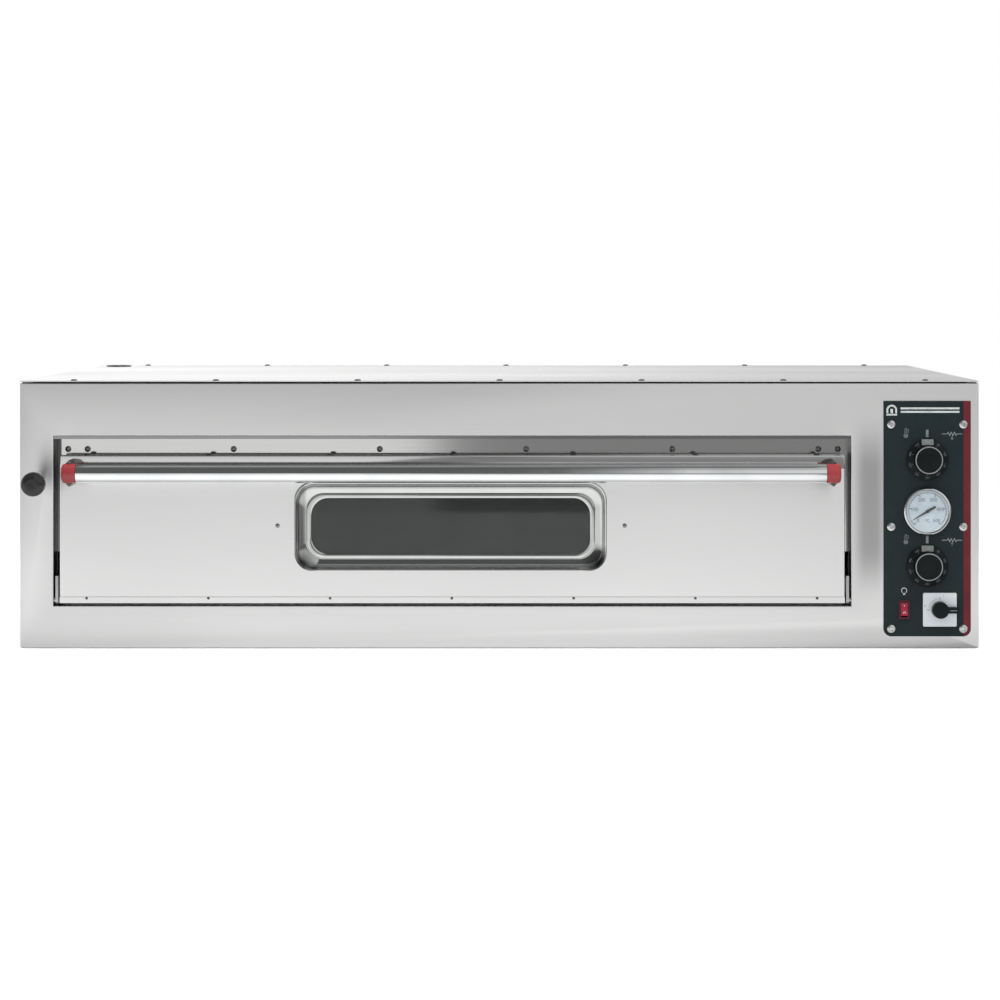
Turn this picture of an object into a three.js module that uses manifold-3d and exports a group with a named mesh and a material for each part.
// A single-deck electric pizza oven: a stainless casing around one wide, low baking chamber
// with a stone hearth, a drop-down door with a window and a bar handle, a steam damper on the
// left and a control bay on the right.
// Millimetres, +Z up, front towards -Y. The origin is the centre of the base.
import * as THREE from "three";
import { mergeVertices } from "three/addons/utils/BufferGeometryUtils.js";
import Module from "manifold-3d";

// ---------------------------------------------------------------- driving dimensions
const WIDTH = 1370;
const DEPTH = 900;
const HEIGHT = 382;
const SHEET = 1.5; // thickness of every folded sheet
const GAP = 0.3; // clearance between parts that touch
const FLANGE = 15; // width of the folded joining flanges
const COVER_SCREW = { radius: 4.6, height: 1.9, inset: 13, pitch: 203.3, perRow: 7 };

// Chamber: three 350 mm pizzas across and two deep.
const CHAMBER_X = -67.5;
const CHAMBER_WIDTH = 1050;
const CHAMBER_DEPTH = 700;
const HEARTH_Z = 103; // top of the stones
const CEILING_Z = 243;
const STONE_THICKNESS = 18;
const TRAY_Z = 58; // underside of the hearth tray

// Door and the opening in the front panel that it fills.
const DOOR_X = CHAMBER_X;
const DOOR_WIDTH = 1122;
const DOOR_BOTTOM = 64.3;
const DOOR_TOP = 275.5;
const DOOR_THICKNESS = 39;
const OPENING = { x0: -637.5, x1: 502.5, z0: 60, z1: 303.5 };
const HINGE_INSET = 6.5; // hinge axis behind the door's face
const HINGE_Z = 68.5;
const PIN_RADIUS = 4;
const SLOT_Z = [62, 135]; // slots that the hinge arms swing in
const WINDOW = { x: -2.4, z: 173.8, width: 398.6, height: 79.3, radius: 24 };
const BEZEL_MARGIN = 24;
const BEZEL_CORNER = 26;
const WINDOW_RECESS = 12;
const GLASS = 3;
const HANDLE_Z = 252.2;
const HANDLE_RADIUS = 13.4;
const HANDLE_REACH = 46; // bar axis in front of the door's face
const HANDLE_HALF = 551;
const CAP_LENGTH = 20;

// Steam outlet and its damper.
const VENT_X = -651;
const VENT_Y = 370;
const VENT_RADIUS = 19;
const VENT_COLLAR = 2.4; // rise of the collar above the cover
const DAMPER_X = -655;
const DAMPER_Z = 238.5;
const DUCT_INNER = [37, 36];
const DAMPER_TRAVEL = 38;
const DAMPER_REACH = 44; // back of the knob in front of the front panel

// Control panel.
const PANEL_X = 611;
const PANEL = { width: 124.6, z0: 17, z1: 353.3, thickness: 1.5 };
const UPPER_KNOB_Z = 269.7;
const LOWER_KNOB_Z = 117.9;
const GAUGE_Z = 195.7;
const SWITCH = { x: 17.7, z: 55.3, plate: 48 };
const ROCKER = { x: -33, z: 55.3, width: 15.8, height: 27.2, tilt: THREE.MathUtils.degToRad(10) };
const SHAFT_RADIUS = 3;
const BUSH_RADIUS = 5;
const PARTITION_X = 512;

const HALF_W = WIDTH / 2;
const FRONT_Y = -DEPTH / 2;
const BACK_Y = DEPTH / 2;
const MOUTH_Y = FRONT_Y + DOOR_THICKNESS + 1.5; // front of the mouth frame
const CHAMBER_FRONT = MOUTH_Y + SHEET + GAP;
const CHAMBER_BACK = CHAMBER_FRONT + CHAMBER_DEPTH;
const TOP_UNDERSIDE = HEIGHT - SHEET;

// ---------------------------------------------------------------- materials
const material = (color, roughness, metalness) =>
  new THREE.MeshStandardMaterial({ color, roughness, metalness });
const stainless = material(0xc9c9c8, 0.34, 1);
const polished = material(0xd8dadb, 0.1, 1);
const galvanised = material(0xa9adb0, 0.5, 1);
const aluminisedSteel = material(0x9a958c, 0.5, 1);
const fireclay = material(0xcdb89a, 0.9, 0);
const mineralWool = material(0xb7ad86, 1, 0);
const elementSteel = material(0x4b4743, 0.55, 1);
const clearGlass = material(0x3c4442, 0.05, 0);
const redPlastic = material(0xa8232f, 0.3, 0);
const blackPlastic = material(0x151718, 0.4, 0);
const panelBlack = material(0x232c2d, 0.45, 0);
const dialWhite = material(0xdfe6ee, 0.4, 0);
const springSteel = material(0x8b8d8f, 0.35, 1);

// ---------------------------------------------------------------- solids
const wasm = await Module();
wasm.setup();

function solidOf(geometry) {
  const loose = geometry.index ? geometry.toNonIndexed() : geometry;
  const bare = new THREE.BufferGeometry();
  bare.setAttribute("position", loose.getAttribute("position"));
  const merged = mergeVertices(bare, 1e-4);
  const vertProperties = merged.attributes.position.array;
  const triVerts = new Uint32Array(merged.index.array);
  return new wasm.Manifold(new wasm.Mesh({ numProp: 3, vertProperties, triVerts }));
}

function geometryOf(solid) {
  const mesh = solid.getMesh();
  const geometry = new THREE.BufferGeometry();
  geometry.setAttribute("position", new THREE.BufferAttribute(mesh.vertProperties, 3));
  geometry.setIndex(new THREE.BufferAttribute(mesh.triVerts, 1));
  return geometry;
}

const join = (...parts) => geometryOf(parts.map(solidOf).reduce((a, b) => a.add(b)));

const cut = (body, ...tools) =>
  geometryOf(tools.map(solidOf).reduce((a, b) => a.subtract(b), solidOf(body)));

// A box between two corners.
function block([x0, x1], [y0, y1], [z0, z1]) {
  const geometry = new THREE.BoxGeometry(x1 - x0, y1 - y0, z1 - z0);
  return geometry.translate((x0 + x1) / 2, (y0 + y1) / 2, (z0 + z1) / 2);
}

// A box open on one side: the walls and floor of a folded sheet.
const openBox = (outer, inner) => cut(block(...outer), block(...inner));

// A flat shape in X and Z, extruded backwards from y.
function plateXZ(shape, y, thickness, curveSegments = 5) {
  const geometry = new THREE.ExtrudeGeometry(shape, {
    depth: thickness,
    bevelEnabled: false,
    curveSegments,
  });
  return geometry.rotateX(Math.PI / 2).translate(0, y + thickness, 0);
}

// A flat shape in Y and Z, extruded to the right from x.
function plateYZ(shape, x, thickness, curveSegments = 5) {
  const geometry = new THREE.ExtrudeGeometry(shape, {
    depth: thickness,
    bevelEnabled: false,
    curveSegments,
  });
  const basis = new THREE.Matrix4().makeBasis(
    new THREE.Vector3(0, 1, 0),
    new THREE.Vector3(0, 0, 1),
    new THREE.Vector3(1, 0, 0),
  );
  return geometry.applyMatrix4(basis).translate(x, 0, 0);
}

function roundedRectangle(width, height, radius, cx = 0, cy = 0) {
  const [x, y] = [width / 2 - radius, height / 2 - radius];
  const shape = new THREE.Shape();
  shape.absarc(cx + x, cy - y, radius, -Math.PI / 2, 0);
  shape.absarc(cx + x, cy + y, radius, 0, Math.PI / 2);
  shape.absarc(cx - x, cy + y, radius, Math.PI / 2, Math.PI);
  shape.absarc(cx - x, cy - y, radius, Math.PI, Math.PI * 1.5);
  shape.closePath();
  return shape;
}

function polygon(points) {
  return new THREE.Shape(points.map(([x, y]) => new THREE.Vector2(x, y)));
}

// A turned part about Y. The profile lists [radius, y] and may run either way round.
function lathe(profile, segments = 32) {
  const twiceArea = profile.reduce((sum, [r, y], i) => {
    const [nextR, nextY] = profile[(i + 1) % profile.length];
    return sum + r * nextY - nextR * y;
  }, 0);
  const ordered = twiceArea > 0 ? profile : [...profile].reverse();
  const closed = ordered.every(([r]) => r > 0) ? [...ordered, ordered[0]] : startOnAxis(ordered);
  return new THREE.LatheGeometry(closed.map(([r, y]) => new THREE.Vector2(r, y)), segments);
}

// Turns a profile that touches the axis so that its two axis points are its ends.
function startOnAxis(profile) {
  const count = profile.length;
  const start = profile.findIndex(([r], i) => r === 0 && profile[(i + count - 1) % count][0] === 0);
  return [...profile.slice(start), ...profile.slice(0, start)];
}

const alongX = (geometry) => geometry.rotateZ(-Math.PI / 2); // a turned part's +Y becomes +X
const rod = (radius, y0, y1, segments = 16) =>
  new THREE.CylinderGeometry(radius, radius, y1 - y0, segments).translate(0, (y0 + y1) / 2, 0);
const rodX = (radius, x0, x1, segments = 16) => alongX(rod(radius, x0, x1, segments));
const rodZ = (radius, z0, z1, segments = 16) => rod(radius, z0, z1, segments).rotateX(Math.PI / 2);

// A curve that stops at exactly the given points, so that straight runs need no extra steps.
class PointCurve extends THREE.Curve {
  constructor(points) {
    super();
    this.points = points;
  }
  getPointAt(u) {
    return this.points[Math.round(u * (this.points.length - 1))].clone();
  }
  getTangentAt(u) {
    const last = this.points.length - 1;
    const i = Math.round(u * last);
    const before = this.points[Math.max(i - 1, 0)];
    const after = this.points[Math.min(i + 1, last)];
    return after.clone().sub(before).normalize();
  }
}

function tube(points, radius, sides) {
  const section = new THREE.Shape();
  section.absarc(0, 0, radius, 0, Math.PI * 2);
  return new THREE.ExtrudeGeometry(section, {
    steps: points.length - 1,
    curveSegments: sides,
    extrudePath: new PointCurve(points),
  });
}

// A closed ring skinned through rounded rectangles. Each loop is {grow, y, radius}: how far it
// stands outside the window, where it lies and its corner radius. The first joins the last.
function skinnedRing(width, height, loops, cornerSteps = 5) {
  const rows = loops.map(({ grow, y, radius }) => {
    const w = width / 2 + grow - radius;
    const h = height / 2 + grow - radius;
    const corners = [[w, -h, -0.5], [w, h, 0], [-w, h, 0.5], [-w, -h, 1]];
    return corners.flatMap(([cx, cz, turn]) =>
      Array.from({ length: cornerSteps + 1 }, (_, i) => {
        const angle = (turn + (0.5 * i) / cornerSteps) * Math.PI;
        return [cx + radius * Math.cos(angle), y, cz + radius * Math.sin(angle)];
      }),
    );
  });
  const count = rows[0].length;
  const index = [];
  rows.forEach((row, j) => {
    const nextRow = (j + 1) % rows.length;
    row.forEach((_, i) => {
      const [a, b] = [j * count + i, j * count + ((i + 1) % count)];
      const [c, d] = [nextRow * count + i, nextRow * count + ((i + 1) % count)];
      index.push(a, b, c, b, d, c);
    });
  });
  const geometry = new THREE.BufferGeometry();
  geometry.setAttribute("position", new THREE.Float32BufferAttribute(rows.flat(2), 3));
  geometry.setIndex(index);
  return geometry;
}

function groupAt(x = 0, y = 0, z = 0) {
  const group = new THREE.Group();
  group.position.set(x, y, z);
  return group;
}

function add(group, name, geometry, finish, position = [0, 0, 0]) {
  const mesh = new THREE.Mesh(geometry, finish);
  mesh.name = name;
  mesh.position.set(...position);
  group.add(mesh);
}

// Runs make(side, sign) for the left and the right of a symmetrical pair.
const bothSides = (make) => [["left", -1], ["right", 1]].forEach(([side, sign]) => make(side, sign));

// ---------------------------------------------------------------- casing
const casing = groupAt();
const INNER_X = HALF_W - SHEET; // inside faces of the side panels
const FRONT_RETURN = 18; // side flanges of the front panel
const SPRING_TAB = { y: [-275, -255], z: [SHEET / 2, 40], hole: 30 };
const armX = (sign) => DOOR_X + sign * (DOOR_WIDTH / 2 + 4); // middle of a hinge arm

function makeBasePan() {
  const x = INNER_X - GAP;
  const [y0, y1] = [FRONT_Y + SHEET + GAP, BACK_Y - SHEET - GAP];
  const tray = openBox(
    [[-x, x], [y0, y1], [0, 24]],
    [[-x + SHEET, x - SHEET], [y0 + SHEET, y1 - SHEET], [SHEET, 30]],
  );
  const tabs = [-1, 1].map((sign) => {
    const middle = armX(sign);
    const tab = block([middle - 1.5, middle + 1.5], SPRING_TAB.y, SPRING_TAB.z);
    const hole = rodX(2.5, middle - 5, middle + 5, 10).translate(0, -265, SPRING_TAB.hole);
    return cut(tab, hole);
  });
  add(casing, "base_pan", join(tray, ...tabs), galvanised);
}

function makeSidePanels() {
  const y = [FRONT_Y + FRONT_RETURN + GAP, BACK_Y];
  const top = TOP_UNDERSIDE - GAP;
  bothSides((side, sign) => {
    const across = (inner) => [sign * HALF_W, sign * (HALF_W - inner)].sort((a, b) => a - b);
    const wall = block(across(SHEET), y, [1, top]);
    const lip = block(across(FLANGE), [y[0] + 6, BACK_Y - FLANGE - 6], [top - SHEET, top]);
    add(casing, side + "_side_panel", join(wall, lip), stainless);
  });
}

function makeRearPanel() {
  const x = INNER_X - GAP;
  const top = TOP_UNDERSIDE - GAP;
  const shell = openBox(
    [[-x, x], [BACK_Y - FLANGE, BACK_Y], [1 + 26, top]],
    [[-x + SHEET, x - SHEET], [BACK_Y - 2 * FLANGE, BACK_Y - SHEET], [0, top - SHEET]],
  );
  const skirt = block([-x, x], [BACK_Y - SHEET, BACK_Y], [1, 27.5]);
  const louvres = Array.from({ length: 7 }, (_, i) => {
    const z = 180 + i * 20;
    return block([545, 655], [BACK_Y - 5, BACK_Y + 5], [z, z + 7]);
  });
  const glandHole = rod(10.5, BACK_Y - 5, BACK_Y + 5, 20).translate(600, 0, 70);
  add(casing, "rear_panel", cut(join(shell, skirt), ...louvres, glandHole), galvanised);
}

// The flat cover with its two rows of screw heads and the low collar of the steam outlet.
function makeTopCover() {
  const sheet = block([-HALF_W, HALF_W], [FRONT_Y, BACK_Y], [TOP_UNDERSIDE, HEIGHT]);
  const { radius, height, inset, pitch, perRow } = COVER_SCREW;
  const headProfile = [
    [0, height],
    [radius * 0.6, height * 0.85],
    [radius, height * 0.3],
    [radius, -0.5],
    [0, -0.5],
  ];
  const heads = [FRONT_Y + inset, BACK_Y - inset].flatMap((y) =>
    Array.from({ length: perRow }, (_, i) =>
      lathe(headProfile, 12)
        .rotateX(Math.PI / 2)
        .translate((i - (perRow - 1) / 2) * pitch, y, HEIGHT),
    ),
  );
  const rim = rodZ(VENT_RADIUS + SHEET, HEIGHT - 0.5, HEIGHT + VENT_COLLAR, 24);
  const collar = rim.translate(VENT_X, VENT_Y, 0);
  const vent = rodZ(VENT_RADIUS, HEIGHT - 10, HEIGHT + 5, 24).translate(VENT_X, VENT_Y, 0);
  add(casing, "top_cover", cut(join(sheet, ...heads, collar), vent), stainless);
}

// The front sheet, its edge flanges and the deep jambs that line the door opening.
function makeFrontPanel() {
  const top = HEIGHT - 3.7;
  const flanged = openBox(
    [[-HALF_W, HALF_W], [FRONT_Y, FRONT_Y + FRONT_RETURN], [1, top]],
    [[-INNER_X, INNER_X], [FRONT_Y + SHEET, FRONT_Y + 30], [1 - 5, top - SHEET]],
  );
  const { x0, x1, z0, z1 } = OPENING;
  const jambEnd = MOUTH_Y - 1.5;
  const jambs = block([x0 - SHEET, x1 + SHEET], [FRONT_Y + 1, jambEnd], [z0 - SHEET, z1 + SHEET]);
  const opening = block([x0, x1], [FRONT_Y - 5, jambEnd + 5], [z0, z1]);
  const pinHoles = rodX(PIN_RADIUS + 0.4, x0 - 5, x1 + 5, 20);
  pinHoles.translate(0, FRONT_Y + HINGE_INSET, HINGE_Z);
  const through = (radius, x, z, segments = 20) =>
    rod(radius, FRONT_Y - 5, FRONT_Y + 5, segments).translate(x, 0, z);
  const holes = [
    through(BUSH_RADIUS + 0.5, PANEL_X, UPPER_KNOB_Z),
    through(BUSH_RADIUS + 0.5, PANEL_X, LOWER_KNOB_Z),
    through(29.5, PANEL_X, GAUGE_Z, 32),
    through(9, PANEL_X + SWITCH.x, SWITCH.z),
    through(4.5, DAMPER_X, DAMPER_Z),
  ];
  const rockerHole = block(
    [PANEL_X + ROCKER.x - 6.3, PANEL_X + ROCKER.x + 6.3],
    [FRONT_Y - 5, FRONT_Y + 5],
    [ROCKER.z - 12, ROCKER.z + 12],
  );
  const body = cut(join(flanged, jambs), opening, pinHoles, ...holes, rockerHole);
  add(casing, "front_panel", body, stainless);
}

// The recessed plate that the door closes against, with the chamber mouth in it.
function makeMouthFrame() {
  const plate = block([-648, 511], [MOUTH_Y, MOUTH_Y + SHEET], [40, 330]);
  const half = CHAMBER_WIDTH / 2;
  const mouth = block(
    [CHAMBER_X - half, CHAMBER_X + half],
    [MOUTH_Y - 5, MOUTH_Y + 5],
    [HEARTH_Z + 0.5, CEILING_Z],
  );
  const slots = [-1, 1].map((sign) =>
    block([armX(sign) - 4.5, armX(sign) + 4.5], [MOUTH_Y - 5, MOUTH_Y + 5], SLOT_Z),
  );
  add(casing, "mouth_frame", cut(plate, mouth, ...slots), stainless);
}

// The sheet wall between the hot side and the control bay.
function makePartition() {
  const wall = block([PARTITION_X, PARTITION_X + SHEET], [MOUTH_Y + 10, 430], [2, 372]);
  const foot = block([PARTITION_X, PARTITION_X + FLANGE], [MOUTH_Y + 10, 430], [2, 2 + SHEET]);
  const wireHole = rodX(12, PARTITION_X - 5, PARTITION_X + 5, 16).translate(0, 380, 60);
  add(casing, "control_bay_partition", cut(join(wall, foot), wireHole), galvanised);
}

// ---------------------------------------------------------------- chamber
const chamber = groupAt(CHAMBER_X);
const HALF_C = CHAMBER_WIDTH / 2;
const ELEMENT_RADIUS = 4;
const ELEMENT_RUNS = 6;
const RUN_PITCH = 78;
const ELEMENT_STARTS = [-445, 55]; // first run of the left and the right element
const ELEMENT_FRONT = CHAMBER_FRONT + 60;
const ELEMENT_REAR = CHAMBER_BACK - 75;
const TERMINAL_END = CHAMBER_BACK + 60;
const UPPER_ELEMENT_Z = 229;
const LOWER_ELEMENT_Z = 71;
const LAMP = { y: -170, z: 178, radius: 28 };
const LEG_PLACES = [-430, 430].flatMap((x) => [-300, 190].map((y) => [x, y]));

// A serpentine of straight runs from the back to the front, with both ends leaving at the rear.
function elementPath(startX, z) {
  const bend = RUN_PITCH / 2;
  const steps = 6;
  const points = [new THREE.Vector3(startX, TERMINAL_END, z)];
  for (let run = 0; run < ELEMENT_RUNS - 1; run += 1) {
    const [turnY, way] = run % 2 === 0 ? [ELEMENT_FRONT, -1] : [ELEMENT_REAR, 1];
    const middleX = startX + RUN_PITCH * (run + 0.5);
    for (let step = 0; step <= steps; step += 1) {
      const angle = (Math.PI * step) / steps;
      const x = middleX - bend * Math.cos(angle);
      points.push(new THREE.Vector3(x, turnY + way * bend * Math.sin(angle), z));
    }
  }
  points.push(new THREE.Vector3(startX + RUN_PITCH * (ELEMENT_RUNS - 1), TERMINAL_END, z));
  return points;
}

// Clearance holes for every element end, through whatever stands behind the chamber.
function terminalHoles() {
  return ELEMENT_STARTS.flatMap((startX) =>
    [startX, startX + RUN_PITCH * (ELEMENT_RUNS - 1)].flatMap((x) =>
      [UPPER_ELEMENT_Z, LOWER_ELEMENT_Z].map((z) =>
        rod(ELEMENT_RADIUS + 1, CHAMBER_BACK - 10, TERMINAL_END, 8).translate(x, 0, z),
      ),
    ),
  );
}

function makeElements() {
  [["upper", UPPER_ELEMENT_Z], ["lower", LOWER_ELEMENT_Z]].forEach(([level, z]) =>
    ELEMENT_STARTS.forEach((startX, i) => {
      const element = tube(elementPath(startX, z), ELEMENT_RADIUS, 4);
      add(chamber, `${level}_heating_element_${i + 1}`, element, elementSteel);
    }),
  );
}

function makeLiner() {
  const shell = openBox(
    [[-HALF_C - SHEET, HALF_C + SHEET], [CHAMBER_FRONT, CHAMBER_BACK + SHEET], [60, CEILING_Z + SHEET]],
    [[-HALF_C, HALF_C], [CHAMBER_FRONT - 5, CHAMBER_BACK], [50, CEILING_Z]],
  );
  const lampHole = rodX(LAMP.radius + GAP, HALF_C - 5, HALF_C + 5, 24).translate(0, LAMP.y, LAMP.z);
  const steamHole = block(
    [-HALF_C + 15, -HALF_C + 55],
    [CHAMBER_BACK - 5, CHAMBER_BACK + 5],
    [200, 228],
  );
  add(chamber, "chamber_liner", cut(shell, lampHole, steamHole, ...terminalHoles()), aluminisedSteel);
}

// The tray under the stones: a rim and two ribs that carry the stones, and four legs down to
// the base pan.
function makeHearthTray() {
  const rim = HEARTH_Z - STONE_THICKNESS - GAP;
  const x = HALF_C - SHEET;
  const [y0, y1] = [CHAMBER_FRONT + 1, CHAMBER_BACK - 1];
  const tray = openBox(
    [[-x, x], [y0, y1], [TRAY_Z, rim]],
    [[-x + SHEET, x - SHEET], [y0 + SHEET, y1 - SHEET], [TRAY_Z + SHEET, rim + 5]],
  );
  const ribs = [-1, 1].map((sign) =>
    block([sign * 175 - 1, sign * 175 + 1], [y0 + 1, ELEMENT_REAR + 10], [TRAY_Z + 1, rim - GAP]),
  );
  const legs = LEG_PLACES.map(([legX, legY]) =>
    block([legX - 20, legX + 20], [legY - 20, legY + 20], [1.8, TRAY_Z + 1]),
  );
  add(chamber, "hearth_tray", cut(join(tray, ...ribs, ...legs), ...terminalHoles()), aluminisedSteel);
}

function makeStones() {
  const width = (CHAMBER_WIDTH - 4) / 3;
  const y = [CHAMBER_FRONT + 1, CHAMBER_BACK - 2];
  ["left", "middle", "right"].forEach((place, i) => {
    const x0 = -HALF_C + 1 + i * (width + 1);
    const stone = block([x0, x0 + width], y, [HEARTH_Z - STONE_THICKNESS, HEARTH_Z]);
    add(chamber, `hearth_stone_${place}`, stone, fireclay);
  });
}

function makeInsulation() {
  const outer = HALF_C + SHEET + 0.5;
  const y = [CHAMBER_FRONT + 6, CHAMBER_BACK + SHEET];
  const ceiling = CEILING_Z + SHEET + 0.5;
  const clearance = 27; // the hinge springs run beside the front of the chamber
  add(
    chamber,
    "ceiling_insulation",
    block([-outer, outer], y, [ceiling, ceiling + 90]),
    mineralWool,
  );
  const legHoles = LEG_PLACES.map(([legX, legY]) =>
    block([legX - 21, legX + 21], [legY - 21, legY + 21], [-5, TRAY_Z + 5]),
  );
  const floor = block([-outer, outer], [y[0], y[1]], [2, TRAY_Z - 0.5]);
  add(chamber, "floor_insulation", cut(floor, ...legHoles), mineralWool);
  bothSides((side, sign) => {
    const span = (depth) => [sign * (outer + 0.3), sign * (outer + depth)].sort((a, b) => a - b);
    const thin = block(span(clearance), [y[0], -240], [2, ceiling]);
    const thick = block(span(44), [-241, y[1]], [2, ceiling]);
    const lampHole = rodX(LAMP.radius + 3, HALF_C, HALF_C + 60, 20).translate(0, LAMP.y, LAMP.z);
    const blanket = join(thin, thick);
    add(chamber, side + "_insulation", sign > 0 ? cut(blanket, lampHole) : blanket, mineralWool);
  });
  const rear = block([-outer, outer], [CHAMBER_BACK + SHEET + 0.5, CHAMBER_BACK + 45], [2, ceiling + 90]);
  const stub = block([-HALF_C + 12, -HALF_C + 58], [CHAMBER_BACK, CHAMBER_BACK + 60], [197, 231]);
  add(chamber, "rear_insulation", cut(rear, stub, ...terminalHoles()), mineralWool);
}

// The lamp in the right wall: a cup through the liner, a screwed bulb and a domed glass.
function makeLamp() {
  const lamp = groupAt(HALF_C, LAMP.y, LAMP.z);
  chamber.add(lamp);
  const { radius } = LAMP;
  const cup = lathe(
    [[0, 38], [radius, 38], [radius, -0.3], [radius + 5, -0.3], [radius + 5, -2.5],
      [radius - 3, -2.5], [radius - 3, 35], [0, 35]],
    24,
  );
  add(lamp, "lamp_housing", alongX(cup), galvanised);
  const bulb = lathe(
    [[0, 34.7], [8, 34.7], [8, 16], [12, 8], [12, 2], [8, -4], [0, -6]],
    16,
  );
  add(lamp, "lamp_bulb", alongX(bulb), clearGlass);
  const dome = lathe(
    [[radius - 2, -2.8], [radius - 2, -8], [radius - 8, -16], [0, -19], [0, -16],
      [radius - 10, -13.5], [radius - 5, -7], [radius - 5, -2.8]],
    24,
  );
  add(lamp, "lamp_glass", alongX(dome), clearGlass);
}

// ---------------------------------------------------------------- steam outlet and damper
function makeSteamDuct() {
  const [innerX, innerY] = DUCT_INNER;
  const x = [VENT_X - innerX / 2, VENT_X + innerX / 2];
  const y = [VENT_Y - innerY / 2, VENT_Y + innerY / 2];
  const stubX = [CHAMBER_X - HALF_C + 16, CHAMBER_X - HALF_C + 54];
  const floorZ = 199;
  const roofZ = 229;
  const grown = ([low, high], by) => [low - by, high + by];
  const shaft = block(grown(x, SHEET), grown(y, SHEET), [floorZ - SHEET, TOP_UNDERSIDE - 2.3]);
  const passage = block([x[0] - SHEET, stubX[1] + SHEET], grown(y, SHEET), grown([floorZ, roofZ], SHEET));
  const stub = block(grown(stubX, SHEET), [CHAMBER_BACK + SHEET + GAP, y[0]], grown([floorZ, roofZ], SHEET));
  const bores = [
    block(x, y, [floorZ, TOP_UNDERSIDE + 5]),
    block([x[0], stubX[1]], y, [floorZ, roofZ]),
    block(stubX, [CHAMBER_BACK - 5, y[1]], [floorZ, roofZ]),
    block([x[0] + 1, x[1] - 1], [y[0] - 5, y[0] + 2], [DAMPER_Z - 2.5, DAMPER_Z + 2.5]),
  ];
  add(casing, "steam_duct", cut(join(shaft, passage, stub), ...bores), aluminisedSteel);
}

const damper = groupAt(DAMPER_X, FRONT_Y, DAMPER_Z);

function makeDamper() {
  const plateEnd = VENT_Y - FRONT_Y - DUCT_INNER[1] / 2 - 3; // leading edge, just outside the duct
  const plateStart = plateEnd - DAMPER_TRAVEL;
  const plateX = VENT_X - DAMPER_X;
  const plate = block([plateX - 16.5, plateX + 16.5], [plateStart, plateEnd], [-0.8, 0.8]);
  add(damper, "damper_plate", plate, galvanised);
  add(damper, "damper_rod", rod(4, -DAMPER_REACH - 20, plateStart - GAP, 16), galvanised);
  const knob = lathe(
    [[4.3, 0], [12, 0], [16.5, -5], [17.2, -14], [15.6, -30], [12, -37], [0, -40],
      [0, -22], [4.3, -22]],
    28,
  );
  add(damper, "damper_knob", knob, blackPlastic, [0, -DAMPER_REACH, 0]);
}

// ---------------------------------------------------------------- door
const door = groupAt(DOOR_X, FRONT_Y + HINGE_INSET, HINGE_Z);
const FACE_Y = -HINGE_INSET;
const INNER_Y = DOOR_THICKNESS - HINGE_INSET;
const HALF_D = DOOR_WIDTH / 2;
const SKIN_BOTTOM = 73.5 - HINGE_Z;
const SKIN_TOP = DOOR_TOP - HINGE_Z;
const BOTTOM = DOOR_BOTTOM - HINGE_Z;
const WINDOW_Z = WINDOW.z - HINGE_Z;
const GLASS_Y = FACE_Y + WINDOW_RECESS + 0.2;

const windowShape = (grow, radius) =>
  roundedRectangle(WINDOW.width + 2 * grow, WINDOW.height + 2 * grow, radius, WINDOW.x, WINDOW_Z);

function makeDoorSkins() {
  const outer = openBox(
    [[-HALF_D, HALF_D], [FACE_Y, FACE_Y + 14], [SKIN_BOTTOM, SKIN_TOP]],
    [[-HALF_D + SHEET, HALF_D - SHEET], [FACE_Y + SHEET, FACE_Y + 20], [SKIN_BOTTOM - 5, SKIN_TOP - SHEET]],
  );
  const throat = plateXZ(windowShape(BEZEL_MARGIN - 1.6, BEZEL_CORNER - 2), FACE_Y - 5, 20);
  add(door, "door_outer_skin", cut(outer, throat), stainless);

  const x = HALF_D - SHEET - GAP;
  const top = SKIN_TOP - SHEET - GAP;
  const front = FACE_Y + SHEET + GAP;
  const tray = openBox(
    [[-x, x], [front, INNER_Y], [BOTTOM, top]],
    [[-x + SHEET, x - SHEET], [front - 5, INNER_Y - SHEET], [BOTTOM + SHEET, top - SHEET]],
  );
  const lip = block([-HALF_D, HALF_D], [FACE_Y + 1, FACE_Y + 1 + SHEET], [BOTTOM, SKIN_BOTTOM - 0.6]);
  const shelf = block([-HALF_D, HALF_D], [FACE_Y + 1, front + 2], [BOTTOM, BOTTOM + SHEET]);
  const hole = plateXZ(windowShape(-6, 14), INNER_Y - 10, 20);
  add(door, "door_inner_pan", cut(join(tray, lip, shelf), hole), stainless);
}

function makeDoorInsulation() {
  const x = HALF_D - 6;
  const slab = block([-x, x], [FACE_Y + 4, INNER_Y - SHEET - GAP], [BOTTOM + 5, SKIN_TOP - 6]);
  const tunnel = plateXZ(windowShape(BEZEL_MARGIN + 2, 18), FACE_Y, 60);
  add(door, "door_insulation", cut(slab, tunnel), mineralWool);
}

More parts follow.
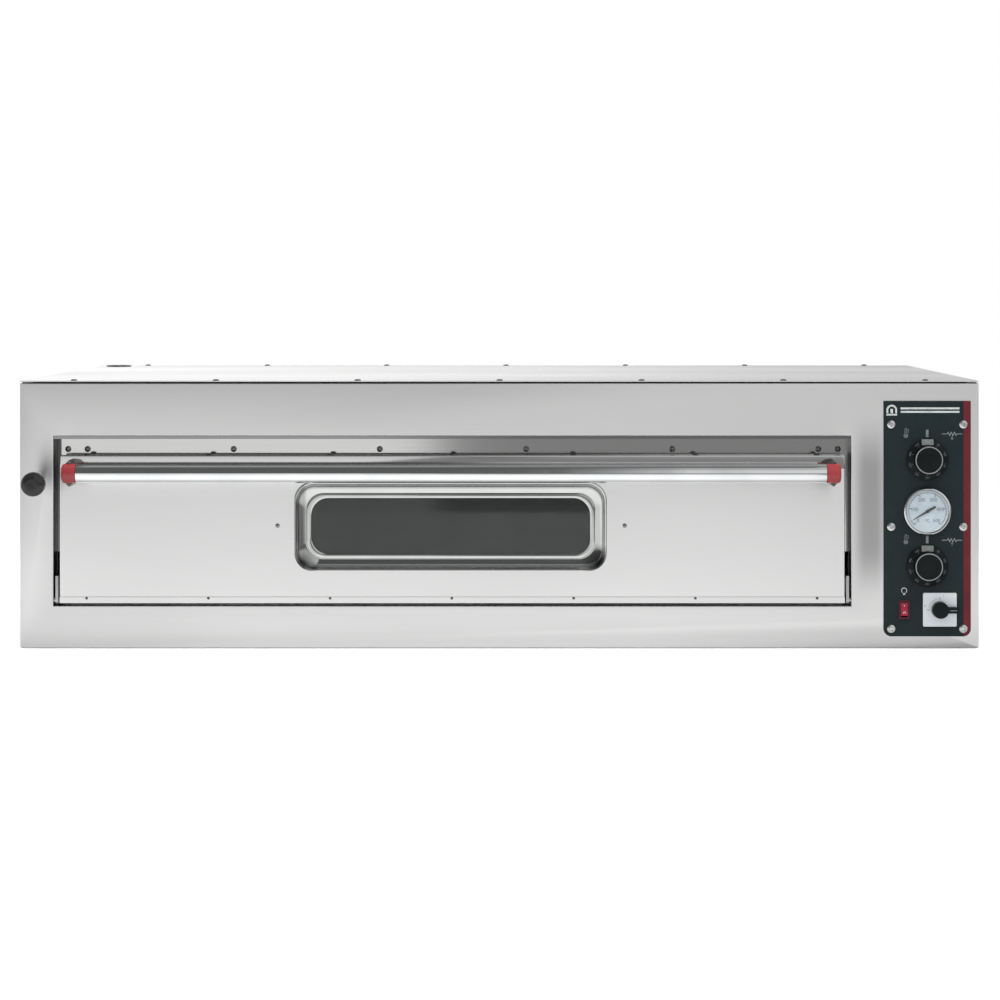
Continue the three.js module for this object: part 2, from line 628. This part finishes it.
// A deep pressed frame: rolled edge on the door's face, steep sides and a flat lip on the glass.
function makeWindow() {
  const proud = FACE_Y - GAP;
  const lipBack = GLASS_Y - GAP;
  const bezel = skinnedRing(WINDOW.width, WINDOW.height, [
    { grow: BEZEL_MARGIN, y: proud, radius: BEZEL_CORNER },
    { grow: BEZEL_MARGIN - 0.4, y: proud - 1.3, radius: BEZEL_CORNER },
    { grow: BEZEL_MARGIN - 1.3, y: proud - 1.7, radius: BEZEL_CORNER },
    { grow: BEZEL_MARGIN - 2.4, y: proud - 1, radius: BEZEL_CORNER },
    { grow: BEZEL_MARGIN - 3.2, y: proud + 1, radius: BEZEL_CORNER },
    { grow: 7.6, y: lipBack - 3.6, radius: WINDOW.radius },
    { grow: 5.6, y: lipBack - 1.2, radius: WINDOW.radius },
    { grow: 0, y: lipBack - 1.2, radius: WINDOW.radius },
    { grow: 0, y: lipBack, radius: WINDOW.radius },
    { grow: 6.4, y: lipBack, radius: WINDOW.radius },
    { grow: 8.7, y: lipBack - 2.8, radius: WINDOW.radius },
    { grow: BEZEL_MARGIN - 2.4, y: proud + 2.2, radius: BEZEL_CORNER },
    { grow: BEZEL_MARGIN - 2.2, y: proud, radius: BEZEL_CORNER },
  ]);
  add(door, "window_bezel", bezel, polished, [WINDOW.x, 0, WINDOW_Z]);
  const pane = (grow, y) => plateXZ(windowShape(grow, 18), y, GLASS);
  add(door, "window_glass_outer", pane(7, GLASS_Y), clearGlass);
  add(door, "window_glass_inner", pane(7, INNER_Y - SHEET - GAP - GLASS), clearGlass);
}

function makeHandle() {
  const handle = groupAt(0, FACE_Y - HANDLE_REACH, HANDLE_Z - HINGE_Z);
  door.add(handle);
  const barHalf = HANDLE_HALF - CAP_LENGTH - GAP;
  const bore = HANDLE_RADIUS - SHEET;
  const bar = lathe([[HANDLE_RADIUS, -barHalf], [HANDLE_RADIUS, barHalf], [bore, barHalf], [bore, -barHalf]]);
  add(handle, "handle_bar", alongX(bar), polished);
  const capRadius = HANDLE_RADIUS + 0.4;
  const cap = [
    [0, -12],
    [bore - GAP, -12],
    [bore - GAP, 0],
    [capRadius, 0],
    [capRadius, CAP_LENGTH - 5],
    [capRadius - 1.5, CAP_LENGTH - 1.5],
    [capRadius - 5, CAP_LENGTH],
    [0, CAP_LENGTH],
  ];
  const outline = polygon([[-6, -13], [0, -19], [6, -13], [6, 13], [0, 19], [-6, 13]]);
  bothSides((side, sign) => {
    const turned = alongX(lathe(cap, 28)).rotateY(sign > 0 ? 0 : Math.PI);
    const capX = sign * (HANDLE_HALF - CAP_LENGTH);
    add(handle, "handle_cap_" + side, turned, redPlastic, [capX, 0, 0]);
    const standoff = plateXZ(outline, 0, HANDLE_REACH - GAP);
    const saddle = rodX(capRadius + GAP, -20, 20, 28);
    const bracketX = sign * (HANDLE_HALF - CAP_LENGTH / 2);
    add(handle, "handle_bracket_" + side, cut(standoff, saddle), blackPlastic, [bracketX, 0, 0]);
  });
}

// A plate beside the door with the hinge pin through its front and a tail for the spring.
function makeHingeArms() {
  const outline = new THREE.Shape();
  outline.absarc(0, 0, 6, Math.PI, Math.PI * 1.75);
  outline.lineTo(12, 1.5);
  outline.lineTo(58, 1.5);
  outline.absarc(54, 30.5, 4, 0, Math.PI / 2);
  outline.lineTo(-6, 34.5);
  outline.closePath();
  bothSides((side, sign) => {
    const inner = sign * (HALF_D + 2);
    const plate = plateYZ(outline, Math.min(inner, inner + sign * 4), 4);
    const pinEnds = [sign * (HALF_D + 3), sign * (HALF_D + 15)].sort((a, b) => a - b);
    const pin = rodX(PIN_RADIUS, ...pinEnds, 20);
    const spacerX = [sign * (HALF_D + 0.3), sign * (HALF_D + 3)].sort((a, b) => a - b);
    const spacer = block(spacerX, [FACE_Y + 16, FACE_Y + 30], [8, 30]);
    const hook = rodX(2.5, -700, 700, 10).translate(0, 52, 9);
    add(door, "hinge_arm_" + side, cut(join(plate, pin, spacer), hook), galvanised);
  });
}

// An extension spring from each arm's tail down to its tab on the base pan.
function makeDoorSprings() {
  const coilRadius = 5;
  const wire = 1;
  const turns = 12;
  const stepsPerTurn = 6;
  const from = new THREE.Vector3(0, FRONT_Y + HINGE_INSET + 59.5, HINGE_Z + 9);
  const to = new THREE.Vector3(0, SPRING_TAB.y[0] - 3, SPRING_TAB.hole);
  const along = to.clone().sub(from).normalize();
  const across = new THREE.Vector3(1, 0, 0);
  const up = new THREE.Vector3().crossVectors(along, across);
  const length = from.distanceTo(to);
  const lead = 14;
  bothSides((side, sign) => {
    const points = [from.clone(), from.clone().addScaledVector(along, lead - 4)];
    for (let step = 0; step <= turns * stepsPerTurn; step += 1) {
      const angle = (2 * Math.PI * step) / stepsPerTurn;
      const travel = lead + ((length - 2 * lead) * step) / (turns * stepsPerTurn);
      const centre = from.clone().addScaledVector(along, travel);
      centre.addScaledVector(up, coilRadius * Math.cos(angle));
      points.push(centre.addScaledVector(across, coilRadius * Math.sin(angle)));
    }
    points.push(to.clone().addScaledVector(along, 4 - lead), to.clone());
    add(casing, "door_spring_" + side, tube(points, wire, 3), springSteel, [armX(sign), 0, 0]);
  });
}

// ---------------------------------------------------------------- controls
const controls = groupAt(PANEL_X, FRONT_Y);
const FASCIA_FRONT = -GAP - PANEL.thickness;

function makeFascia() {
  const height = PANEL.z1 - PANEL.z0;
  const middle = (PANEL.z0 + PANEL.z1) / 2;
  const outline = roundedRectangle(PANEL.width, height, 11, 0, middle);
  const squareTop = block(
    [-PANEL.width / 2, PANEL.width / 2],
    [FASCIA_FRONT, -GAP],
    [PANEL.z1 - 30, PANEL.z1],
  );
  const plate = join(plateXZ(outline, FASCIA_FRONT, PANEL.thickness), squareTop);
  const hole = (radius, x, z, segments = 20) =>
    rod(radius, -10, 10, segments).translate(x, 0, z);
  const tools = [
    hole(BUSH_RADIUS + 0.5, 0, UPPER_KNOB_Z),
    hole(BUSH_RADIUS + 0.5, 0, LOWER_KNOB_Z),
    hole(29.5, 0, GAUGE_Z, 32),
    hole(9, SWITCH.x, SWITCH.z),
    block([ROCKER.x - 6.3, ROCKER.x + 6.3], [-10, 10], [ROCKER.z - 12, ROCKER.z + 12]),
  ];
  add(controls, "control_fascia", cut(plate, ...tools), panelBlack);
}

// A capillary thermostat: a box behind the panel and a threaded bush through it.
function makeThermostat(name, z) {
  const body = block([-23, 23], [SHEET + 1, 38], [-18, 18]);
  const bush = rod(BUSH_RADIUS, FASCIA_FRONT - 1, SHEET + 2, 16);
  const bore = rod(SHAFT_RADIUS + 0.3, FASCIA_FRONT - 5, 20, 16);
  add(controls, name, cut(join(body, bush), bore), galvanised, [0, 0, z]);
}

// A skirted knob with its shaft, turned about Y.
function makeThermostatKnob(name, z) {
  const back = FASCIA_FRONT - 1.3;
  const profile = [
    [0, 18],
    [SHAFT_RADIUS, 18],
    [SHAFT_RADIUS, back],
    [30, back],
    [30, back - 2],
    [21, back - 6],
    [20, back - 22],
    [18.8, back - 23.5],
    [0, back - 23.5],
  ];
  add(controls, name, lathe(profile, 36), blackPlastic, [0, 0, z]);
}

// The pyrometer: a cup with a rolled rim, its needle and its glass.
function makePyrometer() {
  const front = FASCIA_FRONT - 7;
  const cup = lathe(
    [
      [0, 34],
      [28, 34],
      [28, FASCIA_FRONT - 0.3],
      [34, FASCIA_FRONT - 0.3],
      [34, front + 1.5],
      [32.5, front],
      [31, front],
      [30, front + 1],
      [30, FASCIA_FRONT - 1.3],
      [0, FASCIA_FRONT - 1.3],
    ],
    40,
  );
  add(controls, "pyrometer_case", cup, polished, [0, 0, GAUGE_Z]);
  const pane = rod(29.5, front + 0.8, front + 2.3, 36);
  add(controls, "pyrometer_glass", pane, clearGlass, [0, 0, GAUGE_Z]);
  const needleY = [FASCIA_FRONT - 3.6, FASCIA_FRONT - 2.8];
  const depth = needleY[1] - needleY[0];
  const pointer = plateXZ(polygon([[-14, -1.6], [3, -1.4], [24, -0.4], [24, 0.4], [3, 1.4], [-14, 1.6]]),
    needleY[0], depth);
  const hub = rod(2.6, needleY[0] - 0.4, needleY[1] + 0.8, 14);
  const needle = join(pointer, hub);
  const restAngle = THREE.MathUtils.degToRad(210.5);
  needle.rotateY(-restAngle);
  add(controls, "pyrometer_needle", needle, blackPlastic, [0, 0, GAUGE_Z]);
}

function makeMainSwitch() {
  const isolator = groupAt(SWITCH.x, 0, SWITCH.z);
  controls.add(isolator);
  const half = SWITCH.plate / 2;
  const housing = block([-22, 22], [SHEET + 1, 52], [-22, 22]);
  const neck = rod(8.5, FASCIA_FRONT, SHEET + 2, 20);
  const bore = rod(SHAFT_RADIUS + 0.3, FASCIA_FRONT - 5, 25, 16);
  add(isolator, "main_switch_body", cut(join(housing, neck), bore), blackPlastic);
  const plate = plateXZ(roundedRectangle(SWITCH.plate, SWITCH.plate, 2), FASCIA_FRONT - 2.5, 2.2, 3);
  const plateHole = rod(SHAFT_RADIUS + 0.5, FASCIA_FRONT - 10, 5, 16);
  add(isolator, "main_switch_plate", cut(plate, plateHole), dialWhite);
  const back = FASCIA_FRONT - 2.9;
  const boss = lathe(
    [[0, 22], [SHAFT_RADIUS, 22], [SHAFT_RADIUS, back], [12, back], [11.6, back - 13], [10.4, back - 14.5],
      [0, back - 14.5]],
    28,
  );
  const lever = plateXZ(roundedRectangle(32, 8.5, 1.5, half - 14.5, 0), back - 14.5, 14, 3);
  add(isolator, "main_switch_handle", join(boss, lever), blackPlastic);
}

// The lighted rocker that switches the chamber lamp.
function makeLightSwitch() {
  const lightSwitch = groupAt(ROCKER.x, 0, ROCKER.z);
  controls.add(lightSwitch);
  const [w, h] = [ROCKER.width / 2, ROCKER.height / 2];
  const rim = block([-w, w], [FASCIA_FRONT - 2, FASCIA_FRONT - 0.3], [-h, h]);
  const box = block([-6, 6], [FASCIA_FRONT - 1, 22], [-11.7, 11.7]);
  const pocket = block([-5, 5], [FASCIA_FRONT - 10, 12], [-10.7, 10.7]);
  add(lightSwitch, "light_switch_frame", cut(join(rim, box), pocket), blackPlastic);
  const key = new THREE.Shape();
  key.moveTo(4, -7);
  key.lineTo(4, 7);
  key.lineTo(-4.6, 9.2);
  key.quadraticCurveTo(-2.2, 0, -4.6, -9.2);
  key.closePath();
  const tilted = plateYZ(key, -4.7, 9.4, 4).rotateX(-ROCKER.tilt);
  tilted.translate(0, FASCIA_FRONT, 0);
  add(lightSwitch, "light_switch_rocker", tilted, redPlastic);
}

// Power contactor and terminal block inside the control bay, and the inlet gland at the back.
function makeBayFittings() {
  const contactor = join(
    block([-22, 22], [-40, 40], [0, 60]),
    block([-18, 18], [-30, 30], [59, 84]),
  );
  add(casing, "contactor", contactor, blackPlastic, [600, 40, 2]);
  const base = block([-14, 14], [-55, 55], [0, 14]);
  const towers = Array.from({ length: 5 }, (_, i) => {
    const y = -44 + i * 22;
    return block([-11, 11], [y - 9, y + 9], [13, 32]);
  });
  add(casing, "terminal_block", join(base, ...towers), dialWhite, [600, 330, 2]);
  const gland = lathe(
    [[6, -26], [13, -26], [13, -5], [10, -5], [10, 4], [15, 4], [15, 12], [12, 22], [9, 28], [6, 28]],
    24,
  );
  add(casing, "cable_gland", gland, blackPlastic, [600, BACK_Y - 3, 70]);
}

// ---------------------------------------------------------------- assembly
makeBasePan();
makeSidePanels();
makeRearPanel();
makeTopCover();
makeFrontPanel();
makeMouthFrame();
makePartition();
makeLiner();
makeHearthTray();
makeStones();
makeElements();
makeInsulation();
makeLamp();
makeSteamDuct();
makeDamper();
makeDoorSkins();
makeDoorInsulation();
makeWindow();
makeHandle();
makeHingeArms();
makeDoorSprings();
makeFascia();
makeThermostat("upper_thermostat", UPPER_KNOB_Z);
makeThermostat("lower_thermostat", LOWER_KNOB_Z);
makeThermostatKnob("upper_heat_knob", UPPER_KNOB_Z);
makeThermostatKnob("lower_heat_knob", LOWER_KNOB_Z);
makePyrometer();
makeMainSwitch();
makeLightSwitch();
makeBayFittings();

const deckOven = groupAt();
deckOven.add(casing, chamber, damper, door, controls);

export default deckOven;
